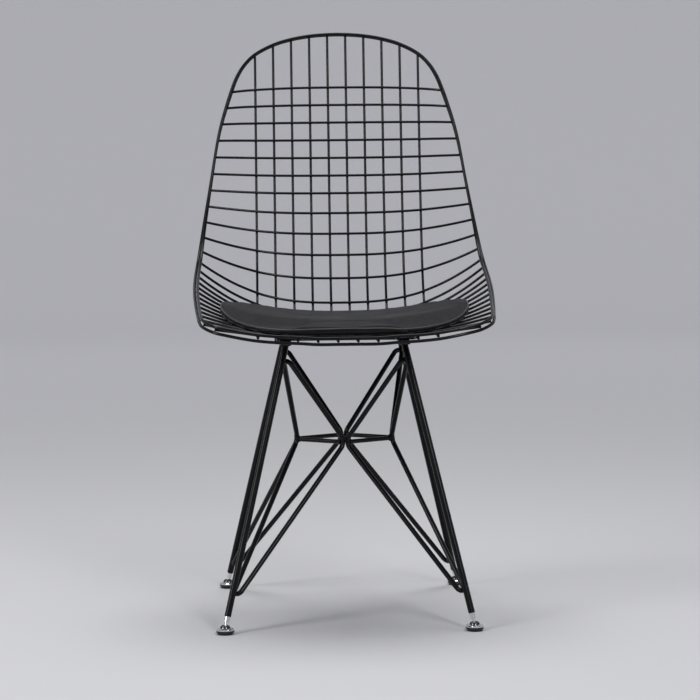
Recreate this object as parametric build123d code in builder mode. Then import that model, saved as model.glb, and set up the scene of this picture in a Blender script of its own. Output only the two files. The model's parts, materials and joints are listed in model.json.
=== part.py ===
from build123d import *

import os
from math import ceil, sqrt

os.makedirs("parts", exist_ok=True)

# The chair stands on Z = 0 with its front toward -Y. Left (-X) and right (+X) are as seen
# from in front. The origin is on the floor, midway between the four feet. Lengths in mm.

# ---- Wire and bar stock ----
mesh_wire = 3.8
rim_wire = 4.5
brace_wire = 7.2
tie_wire = 6.4
leg_rod = 9.5
bar_width = 20.0
bar_thickness = 4.0
weld_gap = 0.04  # between welded neighbours, where the weld bead sits
rest_gap = 0.3  # under soft parts

# ---- Shell: the right half of its edge, and the line down its middle ----
edge_line = [
    (0, 241, 849.5),
    (50, 240.5, 846),
    (96, 238.5, 834.5),
    (129.5, 235, 816),
    (149.5, 230, 792),
    (164, 222.5, 757),
    (180, 207, 704),
    (192.5, 187, 636),
    (204, 155, 565.5),
    (211, 117, 518),
    (214.5, 60, 494),
    (215, -10, 477.5),
    (212, -90, 460.5),
    (207, -170, 446.5),
    (203, -199, 441.5),
    (190, -222, 435.5),
    (160, -234, 429),
    (110, -239, 421.5),
    (55, -241, 418.5),
    (0, -241.5, 417.5),
]
middle_line = [
    (241, 849.5),
    (226, 768),
    (210, 687),
    (196, 606),
    (182, 545),
    (175, 513),
    (163, 478),
    (141, 441),
    (116, 422),
    (80, 413.5),
    (30, 411.2),
    (-60, 411.4),
    (-150, 415.2),
    (-200, 417.5),
    (-241.5, 417.5),
]
bowl_power = 2.7  # how late a cross wire climbs from the middle to the edge

# ---- Shell: spacing of the mesh ----
lengthwise_pitch = 27.8
lengthwise_pairs = 5
top_gap_middle = 82.7  # bare height under the top edge, measured down the middle line
top_gap_edge = 200.8  # the same, measured along the edge
front_gap_edge = 199.3  # bare edge past the last cross wire, round to the middle of the front
back_pitch = 27.3
back_wires = 7
bend_pitches = [31.0, 32.0, 33.0, 37.0, 42.0]  # the wires fan out round the seat bend
front_gap = 26.0
seat_wires = 13

# ---- Base ----
foot_half_width = 176.5
foot_half_depth = 192.5
leg_top_x = 85.6
leg_top_y = 79.4
rail_width = 16.0
rail_length = 190.0
mount_bar_y = 50.0
mount_bar_end_margin = 8.0  # of a mount bar, past the outer edge of the rails
crossing_height = 253.1
crossing_y = 42.4
crossing_x = 68.8
crossing_bend_radius = 15.0
hook_reach = 5.6  # from where two rods meet on a leg out to the corner that each one turns
hook_drop = 20.6  # from the rails' underside down to the upper hooks
front_hook_height = 57.0  # of the lower hooks, on the front legs
rear_hook_height = 42.0
tie_gap = 0.25  # between a tie's square end and the bend that it meets

# ---- Screws that hold the shell on the base ----
screw_diameter = 6.0
screw_hole = 6.6
screw_head_diameter = 11.0
screw_head_height = 3.6
screw_socket = 4.0
nut_across_flats = 10.0
nut_height = 4.0
washer_diameter = 12.0
washer_thickness = 1.0
thread_end = 1.5  # thread that stands out of the nut
thread_clearance = 0.05

# ---- Swivel glides ----
sole_diameter = 22.0
sole_thickness = 2.0
sole_chamfer = 0.4
cup_diameter = 26.0
cup_rim_height = 6.4
cup_rim_chamfer = 1.2
cup_boss_radius = 7.6  # where the boss round the socket rises from the disc
cup_boss_rise = 0.8  # of the disc's top, from its rim in to the boss
cup_shoulder_radius = 6.8
cup_shoulder_height = 11.2
cup_top_radius = 5.8
cup_top_height = 12.6
cup_lip = 0.6  # how far down from its top the cup's mouth meets the round seat
ball_height = 9.0
ball_radius = 3.6
liner_radius = 5.5
liner_top = 2.6  # above the ball's centre
liner_mouth_radius = 3.5
ball_clearance = 0.06
liner_clearance = 0.08
neck_diameter = 4.0
collar_diameter = 8.0
collar_start = 8.2  # from the ball's centre, along the leg
collar_length = 8.0
shank_diameter = 5.0
shank_length = 16.0
shank_clearance = 0.05
shank_bore_depth = 17.0

# ---- Seat pad ----
pad_thickness = 20.3
pad_side_thickness = 7.0  # at the left and right edges
pad_end_thickness = 13.8  # at the front and rear edges
pad_front_y = -214.0
pad_rear_y = 88.0
pad_half_width = 179.5
pad_front_corner_radius = 132.0
pad_rear_corner_radius = 142.0
pad_gap = 0.65  # under the pad at its sections; a wire between two sections comes nearer
pad_crown_power = 6  # how late the pad thins out toward its edge
pad_end_margin = 3.0  # the end sections stop short of the outline's end points
pad_stations = 13  # sections from front to rear
pad_columns = 9  # points across each section
slope_step = 2.0  # distance over which the seat's slope is measured
strap_width = 15.0
strap_thickness = 1.2
strap_column = 3  # the lengthwise wire, counted from the middle, that the straps hold
strap_wires = (15, 22)  # the cross wires, counted from the top, that the straps lie in front of


def save(builder, name):
    builder.part.label = name
    export_step(builder.part, f"parts/{name}.step")


# =====================================================================
# The shell's surface
# =====================================================================
with BuildLine() as edge_curve:
    Spline(*edge_line, tangents=((1, 0, 0), (-1, 0, 0)))
with BuildLine() as middle_curve:
    Spline(*[(0, y, z) for y, z in middle_line])
half_edge = edge_curve.edge()
middle = middle_curve.edge()


def along(curve, distance):
    return curve.position_at(distance, position_mode=PositionMode.LENGTH)


def mirrored(point):
    return Vector(-point.X, point.Y, point.Z)


lengthwise_x = [lengthwise_pitch * (place + 0.5) for place in range(lengthwise_pairs)]

middle_stations = [top_gap_middle + back_pitch * row for row in range(back_wires)]
for pitch in bend_pitches:
    middle_stations.append(middle_stations[-1] + pitch)
seat_pitch = (middle.length - front_gap - middle_stations[-1]) / seat_wires
for _ in range(seat_wires):
    middle_stations.append(middle_stations[-1] + seat_pitch)
cross_count = len(middle_stations)
edge_pitch = (half_edge.length - top_gap_edge - front_gap_edge) / (cross_count - 1)

middle_points = [along(middle, station) for station in middle_stations]
edge_points = [along(half_edge, top_gap_edge + edge_pitch * row) for row in range(cross_count)]


def edge_distance_at(x, low, high):
    """Distance along the half edge of its point at a given x, sought between two distances."""
    rising = along(half_edge, high).X > along(half_edge, low).X
    for _ in range(40):
        halfway = (low + high) / 2
        if (along(half_edge, halfway).X < x) == rising:
            low = halfway
        else:
            high = halfway
    return low


last_cross = half_edge.length - front_gap_edge
top_distances = [edge_distance_at(x, 0, top_gap_edge) for x in lengthwise_x]
front_distances = [edge_distance_at(x, last_cross, half_edge.length) for x in lengthwise_x]
top_ends = [along(half_edge, distance) for distance in top_distances]
front_ends = [along(half_edge, distance) for distance in front_distances]


def shell_point(row, x):
    """Point of the shell's middle surface on one cross wire, rows counted from the top."""
    centre = middle_points[row]
    edge = edge_points[row]
    share = (abs(x) / edge.X) ** bowl_power
    return Vector(x, centre.Y + (edge.Y - centre.Y) * share, centre.Z + (edge.Z - centre.Z) * share)


def shell_normal(row, x):
    """Unit normal of the shell at a cross wire, on the sitter's side."""
    across = shell_point(row, x + 1) - shell_point(row, x - 1)
    upward = shell_point(max(row - 1, 0), x) - shell_point(min(row + 1, cross_count - 1), x)
    return across.cross(upward).normalized()


def seat_height(x, y):
    """Height of the shell's middle surface at a place on the seat."""
    rows = [shell_point(row, x) for row in range(back_wires, cross_count)]
    for behind, ahead in zip(rows, rows[1:]):
        if ahead.Y <= y <= behind.Y:
            break
    return ahead.Z + (behind.Z - ahead.Z) * (y - ahead.Y) / (behind.Y - ahead.Y)


# =====================================================================
# Bent wire
# =====================================================================
def bent_line(points):
    """Joins the points with tangent arcs, two between each pair of points."""
    chords = [(after - before).normalized() for before, after in zip(points, points[2:])]
    first = (points[1] - points[0]).normalized()
    last = (points[-1] - points[-2]).normalized()
    tangents = [first * (2 * first.dot(chords[0])) - chords[0], *chords]
    tangents.append(last * (2 * last.dot(chords[-1])) - chords[-1])
    for start, end, leave, arrive in zip(points, points[1:], tangents, tangents[1:]):
        chord = end - start
        forward = chord.dot(leave + arrive)
        turn = 2 * (1 - leave.dot(arrive))
        reach = chord.dot(chord) / (forward + sqrt(forward**2 + turn * chord.dot(chord)))
        middle_joint = (start + leave * reach + end - arrive * reach) * 0.5
        first_arc = TangentArc(start, middle_joint, tangent=leave)
        TangentArc(middle_joint, end, tangent=first_arc % 1)


def start_plane(path):
    wire = path.wire()
    return Plane(origin=wire @ 0, z_dir=wire % 0)


# =====================================================================
# Shell: lengthwise wires, cross wires and the double rim
# =====================================================================
layer = (mesh_wire + weld_gap) / 2  # each layer of the mesh from the middle surface
rim_layer = (mesh_wire + rim_wire) / 2 + weld_gap


def lengthwise_points(place):
    x = lengthwise_x[place]
    points = [shell_point(row, x) - shell_normal(row, x) * layer for row in range(cross_count)]
    return [top_ends[place], *points, front_ends[place]]


def cross_points(row):
    outer = (lengthwise_x[-1] + edge_points[row].X) / 2
    half = [shell_point(row, x) + shell_normal(row, x) * layer for x in [*lengthwise_x, outer]]
    half.append(edge_points[row])
    return [*[mirrored(point) for point in reversed(half)], *half]


for place in range(lengthwise_pairs):
    with BuildPart() as lengthwise_wires:
        with BuildLine() as lengthwise_path:
            bent_line(lengthwise_points(place))
        with BuildSketch(start_plane(lengthwise_path)):
            Circle(mesh_wire / 2)
        sweep()
        mirror(about=Plane.YZ)
    save(lengthwise_wires, f"lengthwise_wires_{place + 1}")

for first_row in range(0, cross_count, 2):
    rows = range(first_row, min(first_row + 2, cross_count))
    with BuildPart() as cross_wires:
        for row in rows:
            with BuildLine() as cross_path:
                bent_line(cross_points(row))
            with BuildSketch(start_plane(cross_path)):
                Circle(mesh_wire / 2)
            sweep()
    region = "back" if rows[-1] < back_wires + len(bend_pitches) else "seat"
    save(cross_wires, f"{region}_cross_wires_{first_row // 2 + 1}")


def corner_stations(start, end, first_inward, last_inward):
    """Places of the rim between the last wire ends on either side of one of its corners."""
    count = ceil((end - start) / edge_pitch)
    stations = []
    for step in range(1, count):
        share = step / count
        inward = first_inward * (1 - share) + last_inward * share
        stations.append((along(half_edge, start + (end - start) * share), inward))
    return stations


def rim_points(side):
    """Right half of a rim wire, on the sitter's side of the mesh (1) or behind it (-1)."""
    top = []
    for place in range(lengthwise_pairs):
        inward = (lengthwise_points(place)[1] - top_ends[place]).normalized()
        top.append((top_ends[place], inward))
    beside = []
    for row in range(cross_count):
        inward = (cross_points(row)[-2] - edge_points[row]).normalized()
        beside.append((edge_points[row], inward))
    front = []
    for place in reversed(range(lengthwise_pairs)):
        inward = (lengthwise_points(place)[-2] - front_ends[place]).normalized()
        front.append((front_ends[place], inward))
    top_corner = corner_stations(top_distances[-1], top_gap_edge, top[-1][1], beside[0][1])
    front_corner = corner_stations(last_cross, front_distances[-1], beside[-1][1], front[0][1])
    stations = [*top, *top_corner, *beside, *front_corner, *front]
    places = [place for place, _ in stations]
    before = [mirrored(places[0]), *places[:-1]]
    after = [*places[1:], mirrored(places[-1])]
    half = []
    for (place, inward), start, end in zip(stations, before, after):
        half.append(place + inward.cross(end - start).normalized() * rim_layer * side)
    return half


for name, side in (("inner_rim_wire", 1), ("outer_rim_wire", -1)):
    half = rim_points(side)
    with BuildPart() as rim:
        with BuildLine() as rim_path:
            bent_line([mirrored(half[0]), *half, mirrored(half[-1])])
        with BuildSketch(start_plane(rim_path)):
            Circle(rim_wire / 2)
        sweep()
        split(bisect_by=Plane.YZ, keep=Keep.TOP)
        mirror(about=Plane.YZ)
    save(rim, name)


# =====================================================================
# Mount bars under the mesh, side rails under the bars
# =====================================================================
def underside(x, y):
    """Lowest point of the lengthwise wire at x, over a mount bar's width."""
    edges = (y - bar_width / 2, y + bar_width / 2)
    return min(seat_height(x, edge) for edge in edges) - layer - mesh_wire / 2


middle_x = lengthwise_x[0]
bar_top = min(underside(middle_x, y) for y in (-mount_bar_y, mount_bar_y)) - weld_gap
rail_top = bar_top - bar_thickness
rail_bottom = rail_top - bar_thickness
mount_bar_length = 2 * (leg_top_x + rail_width / 2 + mount_bar_end_margin)
screw_places = [(x, y) for x in (-leg_top_x, leg_top_x) for y in (-mount_bar_y, mount_bar_y)]

for name, y in (("front_mount_bar", -mount_bar_y), ("rear_mount_bar", mount_bar_y)):
    with BuildPart() as mount_bar:
        with BuildSketch(Plane.XY.offset(rail_top)):
            with Locations((0, y)):
                RectangleRounded(mount_bar_length, bar_width, bar_width / 4)
            with Locations(*[place for place in screw_places if place[1] * y > 0]):
                Circle(screw_hole / 2, mode=Mode.SUBTRACT)
        extrude(amount=bar_thickness)
    save(mount_bar, name)

for name, x in (("left_side_rail", -leg_top_x), ("right_side_rail", leg_top_x)):
    with BuildPart() as side_rail:
        with BuildSketch(Plane.XY.offset(rail_bottom)):
            with Locations((x, 0)):
                RectangleRounded(rail_width, rail_length, rail_width / 4)
            with Locations(*[place for place in screw_places if place[0] * x > 0]):
                Circle(screw_hole / 2, mode=Mode.SUBTRACT)
        extrude(amount=bar_thickness)
    save(side_rail, name)

with BuildPart() as mount_screws:
    with BuildSketch(Plane.XY.offset(rail_bottom)):
        with Locations(*screw_places):
            Circle(screw_head_diameter / 2)
    extrude(amount=-screw_head_height)
    chamfer(mount_screws.faces().sort_by(Axis.Z)[:4].edges(), screw_head_height / 3)
    with BuildSketch(Plane.XY.offset(rail_bottom)):
        with Locations(*screw_places):
            Circle(screw_diameter / 2)
    extrude(amount=2 * bar_thickness + washer_thickness + nut_height + thread_end)
    with BuildSketch(Plane.XY.offset(rail_bottom - screw_head_height)):
        with Locations(*screw_places):
            RegularPolygon(screw_socket / 2, 6, major_radius=False)
    extrude(amount=screw_head_height / 2, mode=Mode.SUBTRACT)
save(mount_screws, "mount_screws")

with BuildPart() as washers:
    with BuildSketch(Plane.XY.offset(bar_top)):
        with Locations(*screw_places):
            Circle(washer_diameter / 2)
            Circle(screw_hole / 2, mode=Mode.SUBTRACT)
    extrude(amount=washer_thickness)
save(washers, "mount_washers")

with BuildPart() as nuts:
    with BuildSketch(Plane.XY.offset(bar_top + washer_thickness)):
        with Locations(*screw_places):
            RegularPolygon(nut_across_flats / 2, 6, major_radius=False)
            Circle(screw_diameter / 2 + thread_clearance, mode=Mode.SUBTRACT)
    extrude(amount=nut_height)
save(nuts, "mount_nuts")

# =====================================================================
# Legs: straight rods from the rails down to the glides
# =====================================================================
corners = {
    "front_left": (-1, -1),
    "front_right": (1, -1),
    "rear_left": (-1, 1),
    "rear_right": (1, 1),
}


def ball_centre(corner):
    x_sign, y_sign = corners[corner]
    return Vector(x_sign * foot_half_width, y_sign * foot_half_depth, ball_height)


def leg_top(corner):
    x_sign, y_sign = corners[corner]
    return Vector(x_sign * leg_top_x, y_sign * leg_top_y, rail_bottom)


def leg_direction(corner):
    return (leg_top(corner) - ball_centre(corner)).normalized()


def leg_plane(corner, distance):
    """Plane across the leg, its distance measured up from the ball's centre."""
    return Plane(origin=ball_centre(corner), z_dir=leg_direction(corner)).offset(distance)


leg_start = collar_start + collar_length

for corner in corners:
    with BuildPart() as leg:
        with BuildSketch(leg_plane(corner, leg_start)):
            Circle(leg_rod / 2)
        extrude(amount=(leg_top(corner) - ball_centre(corner)).length)
        split(bisect_by=Plane.XY.offset(rail_bottom), keep=Keep.BOTTOM)
        chamfer(leg.faces().sort_by(Axis.Z)[0].edges(), leg_rod / 12)
        with BuildSketch(leg_plane(corner, leg_start)):
            Circle(shank_diameter / 2 + shank_clearance)
        extrude(amount=shank_bore_depth, mode=Mode.SUBTRACT)
    save(leg, f"{corner}_leg")

# =====================================================================
# Braces: on each side of the base every leg has a rod that runs down to the middle, bends and
# runs back to the leg's foot. The two rods of a side meet back to back at their bends. At each
# leg a rod turns round a hook and meets the rod of the next side end to end
# =====================================================================
crossings = {
    "front": Vector(0, -crossing_y, crossing_height),
    "right": Vector(crossing_x, 0, crossing_height),
    "rear": Vector(0, crossing_y, crossing_height),
    "left": Vector(-crossing_x, 0, crossing_height),
}
sides_of_corner = {
    "front_left": ("front", "left"),
    "front_right": ("front", "right"),
    "rear_left": ("rear", "left"),
    "rear_right": ("rear", "right"),
}


def hook(corner, side, height):
    """Where a side's rod ends on a leg, the way it sets off, and the corner it turns."""
    direction = leg_direction(corner)
    on_leg = ball_centre(corner) + direction * ((height - ball_height) / direction.Z)
    other = [name for name in sides_of_corner[corner] if name != side][0]
    inward = (crossings[side] - on_leg).normalized() + (crossings[other] - on_leg).normalized()
    sideways = direction.cross(inward).normalized()
    if sideways.dot(crossings[side] - crossings[other]) < 0:
        sideways = -sideways
    out = sideways.cross(direction)
    if out.dot(inward) < 0:
        out = -out
    apex = on_leg + out.normalized() * ((leg_rod + brace_wire) / 2 + weld_gap)
    return apex + sideways * (weld_gap / 2), sideways, apex + sideways * hook_reach


def toward_middle(corner, side):
    """Level way along a side, from a corner's leg to the middle of the side."""
    x_sign, y_sign = corners[corner]
    if side in ("front", "rear"):
        return Vector(-x_sign, 0, 0)
    return Vector(0, -y_sign, 0)


def half_turn_cosine(down, onward):
    return down.dot((down + onward).normalized())


def brace_turn(corner, side, first_corner, last_corner):
    """Where a rod would turn if its bend were sharp, and its ways before and after.

    The bend itself reaches to half a rod and half a weld gap from the middle of the side.
    """
    toward = toward_middle(corner, side)
    turn = crossings[side]
    for _ in range(6):
        down = (turn - first_corner).normalized()
        onward = (last_corner - turn).normalized()
        outward = (down - onward).normalized()
        direction = (down + onward).normalized()
        bend_centre = turn - outward * (crossing_bend_radius / half_turn_cosine(down, onward))
        in_plane = sqrt(toward.dot(outward) ** 2 + toward.dot(direction) ** 2)
        reach = (bend_centre - crossings[side]).dot(toward) + crossing_bend_radius * in_plane
        turn = turn - toward * (reach + (brace_wire + weld_gap) / 2)
    return turn, down, onward


def hooks_of(corner, side):
    lower = front_hook_height if corners[corner][1] < 0 else rear_hook_height
    return hook(corner, side, rail_bottom - hook_drop), hook(corner, side, lower)


for corner, sides in sides_of_corner.items():
    for side in sides:
        (first_end, first_way, first_corner), (last_end, _, last_corner) = hooks_of(corner, side)
        turn, down, onward = brace_turn(corner, side, first_corner, last_corner)
        bend_reach = crossing_bend_radius * sqrt(1 / half_turn_cosine(down, onward) ** 2 - 1)
        with BuildPart() as brace:
            with BuildLine() as brace_path:
                first_reach = (first_corner - first_end).length
                last_reach = (last_corner - last_end).length
                top_arc = TangentArc(first_end, first_corner + down * first_reach, tangent=first_way)
                upper = Line(top_arc @ 1, turn - down * bend_reach)
                bend = TangentArc(upper @ 1, turn + onward * bend_reach, tangent=down)
                lower = Line(bend @ 1, last_corner - onward * last_reach)
                TangentArc(lower @ 1, last_end, tangent=onward)
            with BuildSketch(start_plane(brace_path)):
                Circle(brace_wire / 2)
            sweep()
        save(brace, f"{side}_brace_at_{corner}_leg")


def bend_middle(corner, side):
    """Middle of a rod's bend at the crossing, and the rod's direction there."""
    (_, _, first_corner), (_, _, last_corner) = hooks_of(corner, side)
    turn, down, onward = brace_turn(corner, side, first_corner, last_corner)
    inward = (onward - down).normalized()
    sagitta = crossing_bend_radius * (1 / half_turn_cosine(down, onward) - 1)
    return turn + inward * sagitta, (down + onward).normalized()


def tie_setback(direction, rod_direction):
    """How far a square-cut tie stops short of the middle of the rod it meets."""
    along_rod = abs(direction.dot(rod_direction))
    across_rod = sqrt(1 - along_rod**2)
    return (brace_wire / 2 + tie_gap + tie_wire / 2 * along_rod) / across_rod


with BuildPart() as crossing_ties:
    for corner, (first_side, second_side) in sides_of_corner.items():
        start, start_rod = bend_middle(corner, first_side)
        finish, finish_rod = bend_middle(corner, second_side)
        direction = (finish - start).normalized()
        start_gap = tie_setback(direction, start_rod)
        length = (finish - start).length - start_gap - tie_setback(direction, finish_rod)
        with BuildSketch(Plane(origin=start + direction * start_gap, z_dir=direction)):
            Circle(tie_wire / 2)
        extrude(amount=length)
save(crossing_ties, "crossing_ties")

# =====================================================================
# Swivel glides: a ball stud in the leg, a socket liner round the ball, a cup and its sole
# =====================================================================
cup_bottom = sole_thickness - ball_height  # heights from here on are from the ball's centre
cup_shoulder = cup_shoulder_height - ball_height
cup_top = cup_top_height - ball_height
cup_seat_radius = liner_radius + liner_clearance
cup_mouth_radius = sqrt(cup_seat_radius**2 - (cup_top - cup_lip) ** 2)
cup_radius = cup_diameter / 2

with BuildPart() as glide_studs:
    for corner in corners:
        direction = leg_direction(corner)
        across = Vector(0, 0, 1).cross(direction).normalized()
        with BuildSketch(Plane(origin=ball_centre(corner), x_dir=across, z_dir=across.cross(direction))):
            with BuildLine():
                ball_top = sqrt(ball_radius**2 - (neck_diameter / 2) ** 2)
                ball_arc = ThreePointArc((0, -ball_radius), (ball_radius, 0), (neck_diameter / 2, ball_top))
                Polyline(
                    ball_arc @ 1,
                    (neck_diameter / 2, collar_start),
                    (collar_diameter / 2, collar_start),
                    (collar_diameter / 2, leg_start),
                    (shank_diameter / 2, leg_start),
                    (shank_diameter / 2, leg_start + shank_length),
                    (0, leg_start + shank_length),
                    ball_arc @ 0,
                )
            make_face()
        revolve(axis=Axis(ball_centre(corner), direction))
save(glide_studs, "glide_studs")

for corner in corners:
    centre = ball_centre(corner)
    profile_plane = Plane(origin=centre, x_dir=(1, 0, 0), z_dir=(0, -1, 0))
    with BuildPart() as liner:
        with BuildSketch(profile_plane):
            Circle(liner_radius)
            with Locations((-liner_radius, 0)):
                Rectangle(2 * liner_radius, 2 * liner_radius, mode=Mode.SUBTRACT)
            with Locations((0, liner_top)):
                Rectangle(liner_radius, liner_radius, align=(Align.MIN, Align.MIN), mode=Mode.SUBTRACT)
            Circle(ball_radius + ball_clearance, mode=Mode.SUBTRACT)
            Rectangle(liner_mouth_radius, liner_top, align=(Align.MIN, Align.MIN), mode=Mode.SUBTRACT)
        revolve(axis=Axis(centre, (0, 0, 1)))
    save(liner, f"{corner}_glide_liner")

    with BuildPart() as cup:
        with BuildSketch(profile_plane):
            with BuildLine():
                Polyline(
                    (0, cup_bottom),
                    (cup_radius - cup_rim_chamfer, cup_bottom),
                    (cup_radius, cup_bottom + cup_rim_chamfer),
                    (cup_radius, cup_bottom + cup_rim_height - cup_rim_chamfer),
                    (cup_radius - cup_rim_chamfer, cup_bottom + cup_rim_height),
                    (cup_boss_radius, cup_bottom + cup_rim_height + cup_boss_rise),
                    (cup_shoulder_radius, cup_shoulder),
                    (cup_top_radius, cup_top),
                    (0, cup_top),
                    (0, cup_bottom),
                )
            make_face()
            Circle(cup_seat_radius, mode=Mode.SUBTRACT)
            Rectangle(cup_mouth_radius, cup_top, align=(Align.MIN, Align.MIN), mode=Mode.SUBTRACT)
        revolve(axis=Axis(centre, (0, 0, 1)))
    save(cup, f"{corner}_glide_cup")

    with BuildPart() as sole:
        with BuildSketch(Plane.XY):
            with Locations((centre.X, centre.Y)):
                Circle(sole_diameter / 2)
        extrude(amount=sole_thickness)
        chamfer(sole.faces().sort_by(Axis.Z)[0].edges(), sole_chamfer)
    save(sole, f"{corner}_glide_sole")

# =====================================================================
# Seat pad: a closed cushion that follows the mesh, and the loops that hold it
# =====================================================================
pad_lift = layer + mesh_wire / 2 + pad_gap


def pad_half_width_at(y):
    """Half width of the pad's rounded outline."""
    cut_back = 0
    into_front = pad_front_y + pad_front_corner_radius - y
    into_rear = y - (pad_rear_y - pad_rear_corner_radius)
    corners_met = ((pad_front_corner_radius, into_front), (pad_rear_corner_radius, into_rear))
    for radius, into_corner in corners_met:
        if into_corner > 0:
            cut_back += radius - sqrt(max(radius**2 - into_corner**2, 0))
    return pad_half_width - cut_back


def slope_factor(x, y):
    """How much taller than its thickness a layer stands on the sloping seat."""
    along_x = (seat_height(x + slope_step, y) - seat_height(x - slope_step, y)) / (2 * slope_step)
    along_y = (seat_height(x, y + slope_step) - seat_height(x, y - slope_step)) / (2 * slope_step)
    return sqrt(1 + along_x**2 + along_y**2)


def pad_section(y):
    """Bottom and top lines of the pad across the seat."""
    half_width = pad_half_width_at(y)
    middle_y = (pad_front_y + pad_rear_y) / 2
    end_share = abs(y - middle_y) / (pad_rear_y - middle_y)
    crown = pad_thickness - pad_end_thickness
    full = pad_end_thickness + crown * (1 - end_share**pad_crown_power)
    bottom = []
    top = []
    for index in range(pad_columns):
        share = 2 * index / (pad_columns - 1) - 1
        x = half_width * share
        factor = slope_factor(x, y)
        low = seat_height(x, y) + pad_lift * factor
        thickness = pad_side_thickness + (full - pad_side_thickness) * (1 - share**pad_crown_power)
        bottom.append((x, y, low))
        top.append((x, y, low + thickness * factor))
    return bottom, top


with BuildPart() as seat_pad:
    for station in range(pad_stations):
        share = station / (pad_stations - 1)
        eased = share * share * (3 - 2 * share)
        length = pad_rear_y - pad_front_y - 2 * pad_end_margin
        y = pad_front_y + pad_end_margin + length * eased
        bottom, top = pad_section(y)
        plane = Plane(origin=(0, y, 0), x_dir=(1, 0, 0), z_dir=(0, -1, 0))
        with BuildSketch(plane):
            with BuildLine():
                lower = Spline(*[(x, z) for x, _, z in bottom])
                upper = Spline(*[(x, z) for x, _, z in top])
                Line(lower @ 0, upper @ 0)
                Line(lower @ 1, upper @ 1)
            make_face()
    loft()
save(seat_pad, "seat_pad")

with BuildPart() as pad_straps:
    for row in strap_wires:
        wire_x = lengthwise_x[strap_column]
        ahead = shell_point(row + 1, wire_x) - shell_normal(row + 1, wire_x) * layer
        behind = shell_point(row, wire_x) - shell_normal(row, wire_x) * layer
        normal = (shell_normal(row, wire_x) + shell_normal(row + 1, wire_x)).normalized()
        direction = (ahead - behind).normalized()
        loop_plane = Plane(origin=(ahead + behind) * 0.5, x_dir=normal.cross(direction), z_dir=direction)
        inside = mesh_wire / 2 + rest_gap
        reach = 2 * layer + mesh_wire / 2
        with BuildSketch(loop_plane):
            with Locations((0, -inside - strap_thickness)):
                Rectangle(
                    2 * (inside + strap_thickness),
                    reach + inside + strap_thickness,
                    align=(Align.CENTER, Align.MIN),
                )
            with Locations((0, -inside)):
                Rectangle(2 * inside, 2 * reach, align=(Align.CENTER, Align.MIN), mode=Mode.SUBTRACT)
        extrude(amount=strap_width / 2, both=True)
    mirror(about=Plane.YZ)
save(pad_straps, "pad_straps")
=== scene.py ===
import json
import math

import bmesh
import bpy
import numpy as np
from mathutils import Matrix, Vector
from mathutils.kdtree import KDTree


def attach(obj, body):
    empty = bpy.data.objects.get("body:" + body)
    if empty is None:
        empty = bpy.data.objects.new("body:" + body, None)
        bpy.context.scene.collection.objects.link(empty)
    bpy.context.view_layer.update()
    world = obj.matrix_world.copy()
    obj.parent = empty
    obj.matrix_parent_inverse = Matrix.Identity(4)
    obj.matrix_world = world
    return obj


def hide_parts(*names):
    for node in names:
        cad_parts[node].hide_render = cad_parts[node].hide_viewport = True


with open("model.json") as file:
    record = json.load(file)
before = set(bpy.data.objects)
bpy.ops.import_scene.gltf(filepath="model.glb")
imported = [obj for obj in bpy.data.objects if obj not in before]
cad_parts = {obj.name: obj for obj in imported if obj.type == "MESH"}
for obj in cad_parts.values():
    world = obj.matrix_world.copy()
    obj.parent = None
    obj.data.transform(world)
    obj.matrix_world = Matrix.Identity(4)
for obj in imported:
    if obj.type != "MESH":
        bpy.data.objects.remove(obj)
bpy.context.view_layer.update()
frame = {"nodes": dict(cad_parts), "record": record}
nodes = frame["nodes"]
corners = ["front_left", "front_right", "rear_left", "rear_right"]
sides = ["front", "right", "rear", "left"]
print("frame loaded,", len(nodes), "pieces")


# node tree helpers
def put(tree, kind, inputs=None, **settings):
    node = tree.nodes.new(kind)
    for name, value in settings.items():
        setattr(node, name, value)
    for name, value in (inputs or {}).items():
        node.inputs[name].default_value = value
    return node


def newGroup(name, inputs, outputs, kind="ShaderNodeTree"):
    tree = bpy.data.node_groups.new(name, kind)
    for label, sort, value in inputs:
        socket = tree.interface.new_socket(name=label, in_out="INPUT", socket_type="NodeSocket" + sort)
        if value is not None:
            socket.default_value = value
    for label, sort in outputs:
        tree.interface.new_socket(name=label, in_out="OUTPUT", socket_type="NodeSocket" + sort)
    return tree, tree.nodes.new("NodeGroupInput"), tree.nodes.new("NodeGroupOutput")


def useGroup(tree, group, **values):
    node = put(tree, "ShaderNodeGroup", node_tree=group)
    for name, value in values.items():
        node.inputs[name].default_value = value
    return node


# patches of value, for roughness and faint colour change
def makePatchGroup():
    tree, start, end = newGroup(
        "patches", [("Size", "Float", 30.0), ("Low", "Float", 0.0), ("High", "Float", 1.0)],
        [("Value", "Float")])
    coords = put(tree, "ShaderNodeTexCoord")
    noise = put(tree, "ShaderNodeTexNoise", {"Detail": 5.0, "Roughness": 0.6})
    spread = put(tree, "ShaderNodeMapRange", {"From Min": 0.3, "From Max": 0.7})
    link = tree.links.new
    link(coords.outputs["Object"], noise.inputs["Vector"])
    link(start.outputs["Size"], noise.inputs["Scale"])
    link(noise.outputs["Fac"], spread.inputs["Value"])
    link(start.outputs["Low"], spread.inputs["To Min"])
    link(start.outputs["High"], spread.inputs["To Max"])
    link(spread.outputs["Result"], end.inputs["Value"])
    return tree


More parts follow.
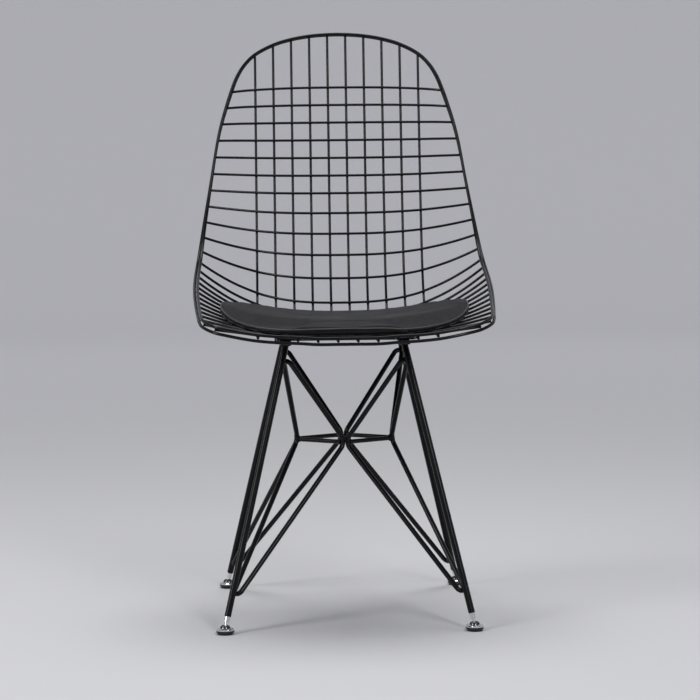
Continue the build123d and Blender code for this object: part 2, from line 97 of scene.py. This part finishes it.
# fine relief: paint texture, moulded plastic, cloth nap
def makeReliefGroup():
    tree, start, end = newGroup(
        "fineRelief", [("Size", "Float", 900.0), ("Depth", "Float", 0.0001), ("Coarse size", "Float", 120.0)],
        [("Normal", "Vector")])
    coords = put(tree, "ShaderNodeTexCoord")
    fine = put(tree, "ShaderNodeTexNoise", {"Detail": 3.0, "Roughness": 0.55})
    coarse = put(tree, "ShaderNodeTexNoise", {"Detail": 2.0})
    both = put(tree, "ShaderNodeMath", operation="ADD")
    bump = put(tree, "ShaderNodeBump", {"Strength": 0.6})
    link = tree.links.new
    link(coords.outputs["Object"], fine.inputs["Vector"])
    link(coords.outputs["Object"], coarse.inputs["Vector"])
    link(start.outputs["Size"], fine.inputs["Scale"])
    link(start.outputs["Coarse size"], coarse.inputs["Scale"])
    link(fine.outputs["Fac"], both.inputs[0])
    link(coarse.outputs["Fac"], both.inputs[1])
    link(both.outputs["Value"], bump.inputs["Height"])
    link(start.outputs["Depth"], bump.inputs["Distance"])
    link(bump.outputs["Normal"], end.inputs["Normal"])
    return tree


# dust that settles on what faces up
def makeDustGroup():
    tree, start, end = newGroup(
        "settledDust", [("Amount", "Float", 0.2), ("Size", "Float", 60.0)], [("Mask", "Float")])
    coords = put(tree, "ShaderNodeTexCoord")
    axes = put(tree, "ShaderNodeSeparateXYZ")
    upward = put(tree, "ShaderNodeMapRange", {"From Min": 0.2, "From Max": 1.0})
    noise = put(tree, "ShaderNodeTexNoise", {"Detail": 6.0})
    broken = put(tree, "ShaderNodeMapRange", {"From Min": 0.35, "From Max": 0.75})
    both = put(tree, "ShaderNodeMath", operation="MULTIPLY")
    scaled = put(tree, "ShaderNodeMath", operation="MULTIPLY")
    link = tree.links.new
    link(coords.outputs["Normal"], axes.inputs["Vector"])
    link(axes.outputs["Z"], upward.inputs["Value"])
    link(coords.outputs["Object"], noise.inputs["Vector"])
    link(start.outputs["Size"], noise.inputs["Scale"])
    link(noise.outputs["Fac"], broken.inputs["Value"])
    link(upward.outputs["Result"], both.inputs[0])
    link(broken.outputs["Result"], both.inputs[1])
    link(both.outputs["Value"], scaled.inputs[0])
    link(start.outputs["Amount"], scaled.inputs[1])
    link(scaled.outputs["Value"], end.inputs["Mask"])
    return tree


patchGroup = makePatchGroup()
reliefGroup = makeReliefGroup()
dustGroup = makeDustGroup()
dustLook = {"colour": (0.32, 0.31, 0.30), "size": 70.0}


# every material: two colours in patches, uneven roughness, fine relief, settled dust
def makeFinish(name, look):
    material = bpy.data.materials.new(name)
    material.use_nodes = True
    tree = material.node_tree
    shader = tree.nodes["Principled BSDF"]
    shader.inputs["Metallic"].default_value = look["metallic"]
    shader.inputs["Specular IOR Level"].default_value = look.get("specular", 0.5)
    shader.inputs["Sheen Weight"].default_value = look.get("sheen", 0.0)
    shader.inputs["Sheen Roughness"].default_value = 0.5
    link = tree.links.new
    patches = useGroup(tree, patchGroup, Size=look["patchSize"])
    colours = put(tree, "ShaderNodeMix", data_type="RGBA")
    colours.inputs["A"].default_value = (*look["colour"], 1)
    colours.inputs["B"].default_value = (*look["secondColour"], 1)
    link(patches.outputs["Value"], colours.inputs["Factor"])
    dust = useGroup(tree, dustGroup, Amount=look["dust"], Size=dustLook["size"])
    dusted = put(tree, "ShaderNodeMix", data_type="RGBA")
    dusted.inputs["B"].default_value = (*dustLook["colour"], 1)
    link(dust.outputs["Mask"], dusted.inputs["Factor"])
    link(colours.outputs["Result"], dusted.inputs["A"])
    link(dusted.outputs["Result"], shader.inputs["Base Color"])
    rough = useGroup(tree, patchGroup, Size=look["roughSize"], Low=look["rough"][0], High=look["rough"][1])
    link(rough.outputs["Value"], shader.inputs["Roughness"])
    relief = useGroup(tree, reliefGroup, Size=look["reliefSize"], Depth=look["reliefDepth"])
    relief.inputs["Coarse size"].default_value = look["coarseSize"]
    link(relief.outputs["Normal"], shader.inputs["Normal"])
    return material


blackCoat = makeFinish("blackPowderCoat", {
    "colour": (0.0020, 0.0020, 0.0032), "secondColour": (0.0038, 0.0038, 0.0052),
    "metallic": 0.0, "specular": 0.2,
    "patchSize": 18.0, "rough": (0.16, 0.25), "roughSize": 40.0, "dust": 0.010,
    "reliefSize": 1600.0, "reliefDepth": 0.00003, "coarseSize": 260.0})
screwSteel = makeFinish("blackedScrewSteel", {
    "colour": (0.030, 0.030, 0.032), "secondColour": (0.045, 0.044, 0.043), "metallic": 0.7,
    "patchSize": 160.0, "rough": (0.38, 0.55), "roughSize": 300.0, "dust": 0.03,
    "reliefSize": 2500.0, "reliefDepth": 0.00002, "coarseSize": 700.0})


# chrome of the glides, with light painted in bands by height: painted highlights on the neck and the disc's
# upper edge, painted shade on its side and boss
def makeGlideChrome(look):
    material = makeFinish("polishedChrome", look)
    tree = material.node_tree
    shader = tree.nodes["Principled BSDF"]
    coords = put(tree, "ShaderNodeTexCoord")
    axes = put(tree, "ShaderNodeSeparateXYZ")
    height = put(tree, "ShaderNodeMapRange", {"From Min": 0.0, "From Max": look["bandTop"]})
    paintedLightBands = put(tree, "ShaderNodeValToRGB")
    ramp = paintedLightBands.color_ramp
    first, *between, last = look["paintedLightBands"]
    for element, (place, bright) in zip(ramp.elements, (first, last)):
        element.position = place
        element.color = (bright, bright, bright, 1)
    for place, bright in between:
        ramp.elements.new(place).color = (bright, bright, bright, 1)
    shaded = put(tree, "ShaderNodeMix", data_type="RGBA", blend_type="MULTIPLY")
    shaded.inputs["Factor"].default_value = 1.0
    link = tree.links.new
    link(coords.outputs["Object"], axes.inputs["Vector"])
    link(axes.outputs["Z"], height.inputs["Value"])
    link(height.outputs["Result"], paintedLightBands.inputs["Fac"])
    link(shader.inputs["Base Color"].links[0].from_socket, shaded.inputs["A"])
    link(paintedLightBands.outputs["Color"], shaded.inputs["B"])
    link(shaded.outputs["Result"], shader.inputs["Base Color"])
    return material


glideChrome = makeGlideChrome({
    "colour": (0.80, 0.81, 0.83), "secondColour": (0.74, 0.75, 0.77), "metallic": 1.0,
    "patchSize": 120.0, "rough": (0.06, 0.17), "roughSize": 260.0, "dust": 0.02,
    "reliefSize": 900.0, "reliefDepth": 0.000006, "coarseSize": 200.0,
    "bandTop": 0.020,  # height, in metres, that the bands' places are shares of
    # painted highlights and painted shade on the chrome: (share of bandTop, brightness)
    "paintedLightBands": [
        (0.0, 0.05), (0.28, 0.07), (0.32, 1.0), (0.455, 1.0), (0.475, 0.10), (0.61, 0.10), (0.66, 1.0)]})
linerNylon = makeFinish("blackNylon", {
    "colour": (0.030, 0.030, 0.031), "secondColour": (0.042, 0.042, 0.042), "metallic": 0.0,
    "patchSize": 200.0, "rough": (0.45, 0.6), "roughSize": 400.0, "dust": 0.02,
    "reliefSize": 3000.0, "reliefDepth": 0.00003, "coarseSize": 900.0})
soleRubber = makeFinish("soleRubber", {
    "colour": (0.018, 0.017, 0.016), "secondColour": (0.032, 0.030, 0.028), "metallic": 0.0,
    "patchSize": 220.0, "rough": (0.7, 0.9), "roughSize": 350.0, "dust": 0.10,
    "reliefSize": 2200.0, "reliefDepth": 0.00006, "coarseSize": 600.0})
strapCloth = makeFinish("strapWebbing", {
    "colour": (0.016, 0.016, 0.016), "secondColour": (0.030, 0.030, 0.030), "metallic": 0.0, "sheen": 0.2,
    "patchSize": 900.0, "rough": (0.75, 0.9), "roughSize": 600.0, "dust": 0.02,
    "reliefSize": 1800.0, "reliefDepth": 0.00020, "coarseSize": 1100.0})


# the pad's cover: small pebbled grain over soft creases, and below the seam a darker lower panel that is
# partly painted shade
def makePadCover(look):
    material = makeFinish("padCover", look)
    tree = material.node_tree
    shader = tree.nodes["Principled BSDF"]
    aboveSeam = put(tree, "ShaderNodeAttribute", attribute_name="aboveSeam")
    blur = look["panelBlur"]
    panelAndShadeMask = put(tree, "ShaderNodeMapRange", {"From Min": -blur, "From Max": blur})
    panelAndShadeColours = put(tree, "ShaderNodeMix", data_type="RGBA")
    # below the seam: a darker lower panel colour, partly painted shade
    panelAndShadeColours.inputs["A"].default_value = (*look["lowerPanelAndShadeColour"], 1)
    coords = put(tree, "ShaderNodeTexCoord")
    grain = put(tree, "ShaderNodeTexVoronoi", {"Scale": look["grainSize"]}, feature="SMOOTH_F1")
    bump = put(tree, "ShaderNodeBump", {"Strength": 0.5, "Distance": look["grainDepth"]})
    creases = put(tree, "ShaderNodeTexNoise", {"Scale": look["creaseSize"], "Detail": 3.0, "Distortion": 0.8})
    creaseBump = put(tree, "ShaderNodeBump", {"Strength": 0.5, "Distance": look["creaseDepth"]})
    stretch = put(tree, "ShaderNodeMapping")
    stretch.inputs["Scale"].default_value = (1.0, look["creaseStretch"], 1.0)
    link = tree.links.new
    link(aboveSeam.outputs["Fac"], panelAndShadeMask.inputs["Value"])
    link(panelAndShadeMask.outputs["Result"], panelAndShadeColours.inputs["Factor"])
    link(shader.inputs["Base Color"].links[0].from_socket, panelAndShadeColours.inputs["B"])
    link(panelAndShadeColours.outputs["Result"], shader.inputs["Base Color"])
    link(coords.outputs["Object"], grain.inputs["Vector"])
    link(coords.outputs["Object"], stretch.inputs["Vector"])
    link(stretch.outputs["Vector"], creases.inputs["Vector"])
    link(grain.outputs["Distance"], bump.inputs["Height"])
    link(creases.outputs["Fac"], creaseBump.inputs["Height"])
    before = shader.inputs["Normal"].links[0].from_socket
    link(before, bump.inputs["Normal"])
    link(bump.outputs["Normal"], creaseBump.inputs["Normal"])
    link(creaseBump.outputs["Normal"], shader.inputs["Normal"])
    return material


padCover = makePadCover({
    "colour": (0.0090, 0.0090, 0.0108), "secondColour": (0.0120, 0.0120, 0.0138),
    "metallic": 0.0, "specular": 0.11,
    # the lower panel's colour is partly painted shade under the pad
    "lowerPanelAndShadeColour": (0.0010, 0.0010, 0.0013), "panelBlur": 0.0004,
    "patchSize": 9.0, "rough": (0.42, 0.54), "roughSize": 22.0, "dust": 0.01,
    "reliefSize": 1500.0, "reliefDepth": 0.00003, "coarseSize": 420.0,
    "grainSize": 750.0, "grainDepth": 0.00010,
    "creaseSize": 9.0, "creaseDepth": 0.0003, "creaseStretch": 0.45})
padPiping = makeFinish("padPiping", {
    "colour": (0.040, 0.040, 0.044), "secondColour": (0.052, 0.052, 0.056), "metallic": 0.0, "specular": 0.3,
    "patchSize": 30.0, "rough": (0.38, 0.5), "roughSize": 60.0, "dust": 0.01,
    "reliefSize": 1500.0, "reliefDepth": 0.00003, "coarseSize": 420.0})
print("materials ready")


# each CAD piece gets the material of its record slot
slotFinishes = {
    "black_metal": blackCoat, "screw_steel": screwSteel, "glide_chrome": glideChrome, "liner": linerNylon,
    "sole": soleRubber, "strap": strapCloth, "pad_cover": padCover,
}
for entry in frame["record"]["subparts"]:
    piece = nodes[entry["node"]]
    finish = slotFinishes[entry["material_slot"]]
    if not piece.material_slots:
        piece.data.materials.append(finish)
    for slot in piece.material_slots:
        slot.material = finish


# one row for each vertex: its place ("co") or its "normal"
def vertexRows(mesh, what="co"):
    flat = np.zeros(len(mesh.vertices) * 3)
    mesh.vertices.foreach_get(what, flat)
    return flat.reshape(-1, 3)


def pointsOf(name):
    return vertexRows(nodes[name].data)


# groups of points that lie near the first point of each group
def clustersOf(points, reach):
    left = points
    found = []
    while len(left):
        near = np.linalg.norm(left - left[0], axis=1) < reach
        found.append(left[near])
        left = left[~near]
    return found


def treeOf(points):
    tree = KDTree(len(points))
    for index, point in enumerate(points):
        tree.insert(point, index)
    tree.balance()
    return tree


# where two bent rods meet: the nearest points of one on the other
def contactOf(first, second):
    tree = treeOf(second)
    nearest = min(((tree.find(point), Vector(point)) for point in first), key=lambda pair: pair[0][2])
    (there, _, _), here = nearest
    return (here + there) / 2


# where a bent rod touches a straight leg, and the way out from the leg's axis
def contactOnLeg(rod, low, high, radius):
    axis = (high - low).normalized()
    found = []
    for point in rod:
        foot = low + axis * (Vector(point) - low).dot(axis)
        way = Vector(point) - foot
        found.append((way.length, foot, way))
    _, foot, way = min(found, key=lambda entry: entry[0])
    return foot + way.normalized() * radius, way


# the end of every geometry tree: real geometry, smooth, in the chosen material
def endTree(tree, start, end, geometry):
    realize = put(tree, "GeometryNodeRealizeInstances")
    smooth = put(tree, "GeometryNodeSetShadeSmooth")
    paint = put(tree, "GeometryNodeSetMaterial")
    link = tree.links.new
    link(geometry, realize.inputs["Geometry"])
    link(realize.outputs["Geometry"], smooth.inputs["Geometry"])
    link(smooth.outputs["Geometry"], paint.inputs["Geometry"])
    link(start.outputs["Material"], paint.inputs["Material"])
    link(paint.outputs["Geometry"], end.inputs["Geometry"])
    return tree


# weld beads: short lines that Geometry Nodes turn into overlapping ripples
def makeBeadTree():
    tree, start, end = newGroup(
        "weldBeads",
        [("Geometry", "Geometry", None), ("Bead radius", "Float", 0.001), ("Ripple spacing", "Float", 0.001),
         ("Unevenness", "Float", 0.15), ("Seed", "Int", 3), ("Material", "Material", None)],
        [("Geometry", "Geometry")], "GeometryNodeTree")
    tree.is_modifier = True
    toCurve = put(tree, "GeometryNodeMeshToCurve")
    resample = put(tree, "GeometryNodeResampleCurve", mode="LENGTH")
    drop = put(tree, "GeometryNodeMeshIcoSphere", {"Subdivisions": 2})
    scatter = put(tree, "GeometryNodeInstanceOnPoints")
    low = put(tree, "ShaderNodeMath", operation="SUBTRACT")
    low.inputs[0].default_value = 1.0
    high = put(tree, "ShaderNodeMath", operation="ADD")
    high.inputs[0].default_value = 1.0
    change = put(tree, "FunctionNodeRandomValue", data_type="FLOAT")
    link = tree.links.new
    link(start.outputs["Geometry"], toCurve.inputs["Mesh"])
    link(toCurve.outputs["Curve"], resample.inputs["Curve"])
    link(start.outputs["Ripple spacing"], resample.inputs["Length"])
    link(start.outputs["Bead radius"], drop.inputs["Radius"])
    link(start.outputs["Unevenness"], low.inputs[1])
    link(start.outputs["Unevenness"], high.inputs[1])
    link(low.outputs["Value"], change.inputs[2])
    link(high.outputs["Value"], change.inputs[3])
    link(start.outputs["Seed"], change.inputs["Seed"])
    link(resample.outputs["Curve"], scatter.inputs["Points"])
    link(drop.outputs["Mesh"], scatter.inputs["Instance"])
    link(change.outputs[1], scatter.inputs["Scale"])
    return endTree(tree, start, end, scatter.outputs["Instances"])


# runs a tree on a mesh of lines and gives back a plain mesh object
def runTree(name, lines, tree, inputs):
    mesh = bpy.data.meshes.new(name + "Lines")
    vertices = []
    edges = []
    for line in lines:
        first = len(vertices)
        vertices += [tuple(point) for point in line]
        edges += [(first + step, first + step + 1) for step in range(len(line) - 1)]
    mesh.from_pydata(vertices, edges, [])
    source = bpy.data.objects.new(name + "Lines", mesh)
    bpy.context.scene.collection.objects.link(source)
    modifier = source.modifiers.new("shape", "NODES")
    modifier.node_group = tree
    for item in tree.interface.items_tree:
        if item.item_type == "SOCKET" and item.in_out == "INPUT" and item.name in inputs:
            modifier[item.identifier] = inputs[item.name]
    depsgraph = bpy.context.evaluated_depsgraph_get()
    result = bpy.data.meshes.new_from_object(source.evaluated_get(depsgraph))
    bpy.data.objects.remove(source)
    made = bpy.data.objects.new(name, result)
    bpy.context.scene.collection.objects.link(made)
    return made


def ringLine(centre, axis, radius, count=14):
    axis = axis.normalized()
    across = axis.orthogonal().normalized()
    other = axis.cross(across)
    angles = [2 * math.pi * step / count for step in range(count + 1)]
    return [centre + (across * math.cos(a) + other * math.sin(a)) * radius for a in angles]


beadTree = makeBeadTree()
meshWelds = {
    "Bead radius": 0.00105, "Ripple spacing": 0.0013, "Unevenness": 0.12, "Seed": 4, "Material": blackCoat}
rodWelds = {
    "Bead radius": 0.0013, "Ripple spacing": 0.0011, "Unevenness": 0.14, "Seed": 9, "Material": blackCoat}
crossingSizes = {
    "slice": 0.0022, "wireReach": 0.012, "touch": 0.0062, "beadOffset": 0.0016, "beadHalf": 0.0005}


# mesh: a bead on either side of each place where a cross wire meets a lengthwise one
def crossingLines(cross, tree, x, sizes):
    across = Vector((1, 0, 0))
    found = []
    for wire in clustersOf(cross[np.abs(cross[:, 0] - x) < sizes["slice"]], sizes["wireReach"]):
        centre = Vector(wire.mean(0))
        near = [Vector(hit[0]) for hit in tree.find_range(centre, sizes["touch"])]
        if not near:
            continue
        along = sum(near, Vector()) / len(near)
        contact = (centre + along) / 2
        for way in (-1, 1):
            spot = contact + across * (sizes["beadOffset"] * way)
            found.append([spot - across * sizes["beadHalf"], spot + across * sizes["beadHalf"]])
    return found


lengthwise = [pointsOf(name) for name in sorted(nodes) if name.startswith("lengthwise_wires")]
wireTrees = [treeOf(points) for points in lengthwise]
wireX = [float(np.median(points[points[:, 0] > 0][:, 0])) for points in lengthwise]
lines = []
for name in sorted(nodes):
    if "_cross_wires_" not in name:
        continue
    points = pointsOf(name)
    for tree, x in zip(wireTrees, wireX):
        for side in (-1, 1):
            lines += crossingLines(points, tree, side * x, crossingSizes)
print("mesh crossings with beads:", len(lines) // 2)
meshBeads = runTree("mesh_weld_beads", lines, beadTree, meshWelds)
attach(meshBeads, "chair")

# base: rings of bead where rods touch legs and each other, at the ties' ends and under the rails
baseSizes = {
    "legRadius": 0.00475, "topSlice": 0.001, "footSlice": 0.004, "rodRing": 0.0027,
    "railDrop": 0.0006, "railRing": 0.0052, "railPoints": 20,
    "tieReach": 0.0068, "tieRing": 0.0033, "tiePoints": 16,
}
lines = []
rods = {side: {} for side in sides}
for corner in corners:
    leg = pointsOf(corner + "_leg")
    upper = Vector(leg[leg[:, 2] > leg[:, 2].max() - baseSizes["topSlice"]].mean(0))
    lower = Vector(leg[leg[:, 2] < leg[:, 2].min() + baseSizes["footSlice"]].mean(0))
    underRail = upper - Vector((0, 0, baseSizes["railDrop"]))
    lines.append(ringLine(underRail, Vector((0, 0, 1)), baseSizes["railRing"], baseSizes["railPoints"]))
    for side in corner.split("_"):
        rod = pointsOf(f"{side}_brace_at_{corner}_leg")
        rods[side][corner] = rod
        middle = (rod[:, 2].min() + rod[:, 2].max()) / 2
        for half in (rod[rod[:, 2] > middle], rod[rod[:, 2] < middle]):
            spot, way = contactOnLeg(half, lower, upper, baseSizes["legRadius"])
            lines.append(ringLine(spot, way, baseSizes["rodRing"]))
for side in sides:
    outward = Vector((1, 0, 0)) if side in ("front", "rear") else Vector((0, 1, 0))
    lines.append(ringLine(contactOf(*rods[side].values()), outward, baseSizes["rodRing"]))
for end in clustersOf(pointsOf("crossing_ties"), baseSizes["tieReach"]):
    centre = Vector(end.mean(0))
    flat = Vector(np.linalg.svd(end - end.mean(0), full_matrices=False)[2][2])
    lines.append(ringLine(centre, flat, baseSizes["tieRing"], baseSizes["tiePoints"]))
rodBeads = runTree("base_weld_beads", lines, beadTree, rodWelds)
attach(rodBeads, "chair")
print("base welds:", len(lines))


# seat pad: a closed cover, swelled by a short cloth simulation and held flat underneath
padSizes = {
    "merge": 0.00002, "voxel": 0.004, "pressure": 4.0, "clothQuality": 5, "frames": 20, "mostMove": 0.003,
    "underFacing": -0.35,  # vertices that face down more than this stay flat
    "seamHeight": 0.85, "seamPoints": 132, "seamSmoothing": 6, "edgeDepth": 0.0035,
    "panelFacing": 0.6, "panelReach": 0.02, "fullness": 0.75,
    "cordRadius": 0.0012, "cordStep": 0.004, "cordSides": 10,
}


def makePad(sizes):
    bm = bmesh.new()
    bm.from_mesh(nodes["seat_pad"].data)
    bmesh.ops.remove_doubles(bm, verts=bm.verts, dist=sizes["merge"])
    bmesh.ops.recalc_face_normals(bm, faces=bm.faces)
    mesh = bpy.data.meshes.new("seatPadStart")
    bm.to_mesh(mesh)
    bm.free()
    pad = bpy.data.objects.new("seat_pad_cover", mesh)
    bpy.context.scene.collection.objects.link(pad)
    remesh = pad.modifiers.new("even", "REMESH")
    remesh.mode = "VOXEL"
    remesh.voxel_size = sizes["voxel"]
    remesh.use_smooth_shade = True
    depsgraph = bpy.context.evaluated_depsgraph_get()
    even = bpy.data.meshes.new_from_object(pad.evaluated_get(depsgraph))
    pad.modifiers.clear()
    pad.data = even
    rest = vertexRows(even)
    under = vertexRows(even, "normal")[:, 2] < sizes["underFacing"]
    held = pad.vertex_groups.new(name="underside")
    held.add([int(index) for index in np.nonzero(under)[0]], 1.0, "REPLACE")
    cloth = pad.modifiers.new("stuffing", "CLOTH")
    cloth.settings.use_pressure = True
    cloth.settings.uniform_pressure_force = sizes["pressure"]
    cloth.settings.effector_weights.gravity = 0.0
    cloth.settings.vertex_group_mass = "underside"
    cloth.settings.quality = sizes["clothQuality"]
    scene = bpy.context.scene
    for step in range(1, sizes["frames"] + 1):
        scene.frame_set(step)
    depsgraph = bpy.context.evaluated_depsgraph_get()
    swelled = bpy.data.meshes.new_from_object(pad.evaluated_get(depsgraph))
    pad.modifiers.clear()
    move = vertexRows(swelled) - rest
    size = np.linalg.norm(move, axis=1)
    move *= np.minimum(1.0, sizes["mostMove"] / np.maximum(size, 1e-9))[:, None]
    move[:, 2] = np.where(under, np.maximum(move[:, 2], 0), move[:, 2])
    swelled.vertices.foreach_set("co", (rest + move).ravel())
    pad.data = swelled
    scene.frame_set(1)
    return pad


# the seam round the pad, and how far above it each point of the cover lies
def padSeam(pad, sizes):
    points = vertexRows(pad.data)
    facing = vertexRows(pad.data, "normal")[:, 2]
    centre = (points.min(0) + points.max(0)) / 2
    half = (points.max(0) - points.min(0)) / 2

    def turnsOf(rows):
        return np.arctan2((rows[:, 1] - centre[1]) / half[1], (rows[:, 0] - centre[0]) / half[0])

    turned = turnsOf(points)
    reach = np.hypot(points[:, 0] - centre[0], points[:, 1] - centre[1])
    count = sizes["seamPoints"]
    bins = np.floor((turned + math.pi) / (2 * math.pi) * count).astype(int) % count
    line = []
    for place in range(count):
        here = np.nonzero(bins == place)[0]
        edge = here[reach[here] > reach[here].max() - sizes["edgeDepth"]]
        low, high = points[edge][:, 2].min(), points[edge][:, 2].max()
        target = low + (high - low) * sizes["seamHeight"]
        line.append(points[edge[np.abs(points[edge][:, 2] - target).argmin()]])
    line = np.array(line)
    for _ in range(sizes["seamSmoothing"]):
        line = (np.roll(line, 1, 0) + 2 * line + np.roll(line, -1, 0)) / 4
    above = points[:, 2] - np.interp(turned, turnsOf(line), line[:, 2], period=2 * math.pi)
    # up-facing points count as above the seam; down-facing points get the darker lower colour, partly painted
    # shade
    above[facing > sizes["panelFacing"]] = sizes["panelReach"]
    above[facing < -sizes["panelFacing"]] = -sizes["panelReach"]
    pad.data.attributes.new("aboveSeam", "FLOAT", "POINT").data.foreach_set("value", above)
    return [Vector(point) for point in line]


# piping: a round cord along the seam
def makePipingTree(sizes):
    tree, start, end = newGroup(
        "piping", [("Geometry", "Geometry", None), ("Cord radius", "Float", 0.001), ("Sides", "Int", 10),
                   ("Material", "Material", None)], [("Geometry", "Geometry")], "GeometryNodeTree")
    tree.is_modifier = True
    toCurve = put(tree, "GeometryNodeMeshToCurve")
    resample = put(tree, "GeometryNodeResampleCurve", mode="LENGTH", inputs={"Length": sizes["cordStep"]})
    circle = put(tree, "GeometryNodeCurvePrimitiveCircle")
    sweep = put(tree, "GeometryNodeCurveToMesh")
    link = tree.links.new
    link(start.outputs["Geometry"], toCurve.inputs["Mesh"])
    link(toCurve.outputs["Curve"], resample.inputs["Curve"])
    link(start.outputs["Cord radius"], circle.inputs["Radius"])
    link(start.outputs["Sides"], circle.inputs["Resolution"])
    link(resample.outputs["Curve"], sweep.inputs["Curve"])
    link(circle.outputs["Curve"], sweep.inputs["Profile Curve"])
    return endTree(tree, start, end, sweep.outputs["Mesh"])


pad = makePad(padSizes)
seam = padSeam(pad, padSizes)
smoothing = pad.modifiers.new("smooth", "SUBSURF")
smoothing.levels = 1
smoothing.render_levels = 1
pad.data.materials.clear()
pad.data.materials.append(padCover)
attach(pad, "chair")
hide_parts("seat_pad")
piping = runTree("seat_pad_piping", [seam + [seam[0]]], makePipingTree(padSizes), {
    "Cord radius": padSizes["cordRadius"], "Sides": padSizes["cordSides"], "Material": padPiping})
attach(piping, "chair")
print("seat pad ready")


# floor and backdrop in one round bowl, wide enough to walk round the chair inside it
stageSizes = {
    "innerRing": 2.0, "floorRadius": 5.0, "bendRadius": 1.6, "height": 6.0, "bendSteps": 20, "around": 96,
    "colour": (0.58, 0.58, 0.60), "roughness": 0.9,
    "glow": (0.20, 0.20, 0.215), "glowStart": 1.0, "glowFull": 4.6,
}


# plain paper; only the eye and mirrors see the glow that keeps it pale far from the lamps
def makePaper(sizes):
    material = bpy.data.materials.new("palePaper")
    material.use_nodes = True
    tree = material.node_tree
    shader = tree.nodes["Principled BSDF"]
    shader.inputs["Base Color"].default_value = (*sizes["colour"], 1)
    shader.inputs["Roughness"].default_value = sizes["roughness"]
    shader.inputs["Emission Color"].default_value = (*sizes["glow"], 1)
    coords = put(tree, "ShaderNodeTexCoord")
    flatten = put(tree, "ShaderNodeVectorMath", operation="MULTIPLY")
    flatten.inputs[1].default_value = (1.0, 1.0, 0.0)
    distance = put(tree, "ShaderNodeVectorMath", operation="LENGTH")
    grow = put(tree, "ShaderNodeMapRange", {"From Min": sizes["glowStart"], "From Max": sizes["glowFull"]},
               interpolation_type="SMOOTHSTEP")
    path = put(tree, "ShaderNodeLightPath")
    seen = put(tree, "ShaderNodeMath", operation="MAXIMUM")
    strength = put(tree, "ShaderNodeMath", operation="MULTIPLY")
    link = tree.links.new
    link(coords.outputs["Object"], flatten.inputs[0])
    link(flatten.outputs["Vector"], distance.inputs[0])
    link(distance.outputs["Value"], grow.inputs["Value"])
    link(path.outputs["Is Camera Ray"], seen.inputs[0])
    link(path.outputs["Is Glossy Ray"], seen.inputs[1])
    link(grow.outputs["Result"], strength.inputs[0])
    link(seen.outputs["Value"], strength.inputs[1])
    link(strength.outputs["Value"], shader.inputs["Emission Strength"])
    return material


def makeStage(sizes):
    profile = [(0.0, 0.0), (sizes["innerRing"], 0.0), (sizes["floorRadius"], 0.0)]
    for step in range(1, sizes["bendSteps"] + 1):
        turn = math.pi / 2 * step / sizes["bendSteps"]
        profile.append((sizes["floorRadius"] + sizes["bendRadius"] * math.sin(turn),
                        sizes["bendRadius"] * (1 - math.cos(turn))))
    profile.append((sizes["floorRadius"] + sizes["bendRadius"], sizes["height"]))
    count = sizes["around"]
    vertices = [(0.0, 0.0, 0.0)]
    for radius, height in profile[1:]:
        for place in range(count):
            turn = 2 * math.pi * place / count
            vertices.append((radius * math.cos(turn), radius * math.sin(turn), height))
    faces = [(0, 1 + place, 1 + (place + 1) % count) for place in range(count)]
    for ring in range(len(profile) - 2):
        start = 1 + ring * count
        for place in range(count):
            onward = (place + 1) % count
            faces.append((start + place, start + count + place, start + count + onward, start + onward))
    mesh = bpy.data.meshes.new("studioBowl")
    mesh.from_pydata(vertices, [], faces)
    for face in mesh.polygons:
        face.use_smooth = True
    stage = bpy.data.objects.new("studioBowl", mesh)
    bpy.context.scene.collection.objects.link(stage)
    mesh.materials.append(makePaper(sizes))


makeStage(stageSizes)

lamps = {
    "leftWindow": {"place": (-2.7, -1.8, 2.3), "aim": (0, 0, 0.45), "size": (0.8, 2.0), "power": 50},
    "rightWindow": {"place": (1.2, -3.0, 2.5), "aim": (0, 0, 0.45), "size": (0.6, 1.6), "power": 44},
    "overhead": {"place": (0.0, 0.4, 3.2), "aim": (0, 0, 0.3), "size": (2.4, 1.8), "power": 60},
}


def aimed(place, aim):
    return (Vector(aim) - Vector(place)).to_track_quat("-Z", "Y")


for name, lamp in lamps.items():
    light = bpy.data.lights.new(name, "AREA")
    light.shape = "RECTANGLE"
    light.size, light.size_y = lamp["size"]
    light.energy = lamp["power"]
    holder = bpy.data.objects.new(name, light)
    holder.location = lamp["place"]
    holder.rotation_mode = "QUATERNION"
    holder.rotation_quaternion = aimed(lamp["place"], lamp["aim"])
    bpy.context.scene.collection.objects.link(holder)

room = {"colour": (0.95, 0.96, 1.0), "strength": 0.3}
world = bpy.data.worlds.new("softRoom")
world.use_nodes = True
background = world.node_tree.nodes["Background"]
background.inputs["Color"].default_value = (*room["colour"], 1)
background.inputs["Strength"].default_value = room["strength"]
bpy.context.scene.world = world
bpy.context.scene.view_settings.view_transform = "Standard"
print("stage, lamps and room ready")

# camera: a long lens from the front, a little above the seat
cameraSizes = {
    "place": (-0.1208, -4.2, 0.7600), "yaw": 0.0310, "pitch": 0.0893, "roll": -0.00942,
    "lens": 147.65, "sensor": 36.0, "clipEnd": 50.0,
}


def makeCamera(sizes):
    yaw, pitch, roll = sizes["yaw"], sizes["pitch"], sizes["roll"]
    forward = Vector((math.sin(yaw) * math.cos(pitch), math.cos(yaw) * math.cos(pitch), -math.sin(pitch)))
    right = Vector((math.cos(yaw), -math.sin(yaw), 0))
    up = right.cross(forward)
    turnedRight = right * math.cos(roll) + up * math.sin(roll)
    turnedUp = up * math.cos(roll) - right * math.sin(roll)
    data = bpy.data.cameras.new("camera")
    data.lens = sizes["lens"]
    data.sensor_width = sizes["sensor"]
    data.clip_end = sizes["clipEnd"]
    camera = bpy.data.objects.new("camera", data)
    turn = Matrix((turnedRight, turnedUp, -forward)).transposed().to_4x4()
    camera.matrix_world = Matrix.Translation(sizes["place"]) @ turn
    bpy.context.scene.collection.objects.link(camera)
    bpy.context.scene.camera = camera


makeCamera(cameraSizes)
